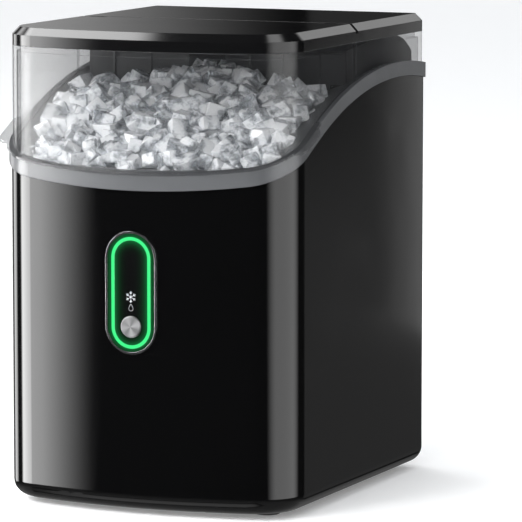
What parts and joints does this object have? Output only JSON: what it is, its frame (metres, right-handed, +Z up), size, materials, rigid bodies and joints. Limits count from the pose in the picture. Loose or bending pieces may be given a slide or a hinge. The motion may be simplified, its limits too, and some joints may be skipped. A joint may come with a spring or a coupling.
{
  "type": "ice maker",
  "caption": "Counter-top nugget ice maker: bowed black case, clear-walled hinged lid over a lift-out ice basket, lit control panel and rear refrigeration pack.",
  "frame": {"origin": "on the bench under the middle of the bounding box", "axes": "+Z up, the front with the control panel faces -Y, +X to the right seen from the front"},
  "size_m": [0.245, 0.291, 0.348],
  "materials": {
    "case_black": "gloss",
    "top_black": "gloss",
    "rim_grey": "satin",
    "bin_grey": "satin",
    "wall_grey": "matte",
    "clear_plastic": "clear",
    "basket_grey": "satin",
    "inner_black": "matte",
    "panel_black": "gloss",
    "bezel_metal": "satin",
    "button_steel": "turned",
    "light_green": "emissive diffuser",
    "foot_rubber": "matte",
    "zinc_steel": "zinc plated",
    "copper": "drawn copper",
    "can_black": "satin",
    "fin_aluminium": "mill",
    "stainless": "brushed",
    "foam_grey": "foam",
    "pump_white": "matte",
    "hose_clear": "translucent silicone",
    "board_green": "circuit board",
    "wire_black": "matte"
  },
  "bodies": {
    "cabinet": {"auger_barrel": "stainless", "auger_bearing": "stainless", "auger_gearbox": "fin_aluminium", "auger_motor": "can_black", "barrel_insulation": "foam_grey", "base_plate": "zinc_steel", "bin_back_wall": "wall_grey", "bin_liner": "bin_grey", "board_tray": "inner_black", "button_switch": "inner_black", "capillary_tube": "copper", "compressor": "can_black", "compressor_bolts": "zinc_steel", "compressor_mounts": "foot_rubber", "condenser_fins": "fin_aluminium", "condenser_tube": "copper", "control_bezel": "bezel_metal", "control_plate": "panel_black", "discharge_line": "copper", "display_board": "board_green", "drain_hose": "hose_clear", "drain_port": "inner_black", "evaporator_coil": "copper", "extruder_head": "stainless", "fan_motor": "can_black", "fan_shroud": "inner_black", "feet": "foot_rubber", "filter_drier": "copper", "float_stem": "pump_white", "ice_chute": "wall_grey", "ice_sensors": "panel_black", "light_ring": "light_green", "liquid_line": "copper", "main_board": "board_green", "outer_shell": "case_black", "power_inlet": "inner_black", "pump_hose": "hose_clear", "rear_housing": "inner_black", "rear_panel": "inner_black", "rear_screws": "zinc_steel", "rear_top": "top_black", "rear_window": "clear_plastic", "reservoir_cover": "pump_white", "rim_frame": "rim_grey", "suction_line": "copper", "water_pump": "inner_black", "water_reservoir": "pump_white", "wire_harness": "wire_black"},
    "lid": {"lid_top": "top_black", "lid_window": "clear_plastic", "lid_inner_panel": "inner_black", "hinge_pins": "stainless"},
    "basket": {"ice_basket": "basket_grey"},
    "button": {"power_button": "button_steel"},
    "fan": {"fan_rotor": "inner_black"},
    "auger": {"auger_screw": "stainless"},
    "float": {"float_ring": "foam_grey"},
    "plug": {"drain_plug": "foot_rubber"}
  },
  "joints": [
    {"name": "lid_hinge", "type": "hinge", "parent": "cabinet", "child": "lid", "pos_m": [0, 0.003, 0.3445], "axis": [-1, 0, 0], "range_deg": [0, 85]},
    {"name": "basket_lift", "type": "slide", "parent": "cabinet", "child": "basket", "axis": [0, 0, 1], "range_m": [0, 0.018]},
    {"name": "button_press", "type": "slide", "parent": "cabinet", "child": "button", "axis": [0, 1, 0], "range_m": [0, 0.0012], "stiffness_N_per_m": 900},
    {"name": "fan_spin", "type": "hinge", "parent": "cabinet", "child": "fan", "pos_m": [-0.059, 0.107, 0.066], "axis": [0, 1, 0], "continuous": true},
    {"name": "auger_spin", "type": "hinge", "parent": "cabinet", "child": "auger", "pos_m": [0.002, 0.043, 0.2], "axis": [0, 0, 1], "continuous": true},
    {"name": "float_rise", "type": "slide", "parent": "cabinet", "child": "float", "axis": [0, 0, 1], "range_m": [0, 0.022]},
    {"name": "drain_plug_pull", "type": "slide", "parent": "cabinet", "child": "plug", "axis": [0, 1, 0], "range_m": [0, 0.012]}
  ]
}
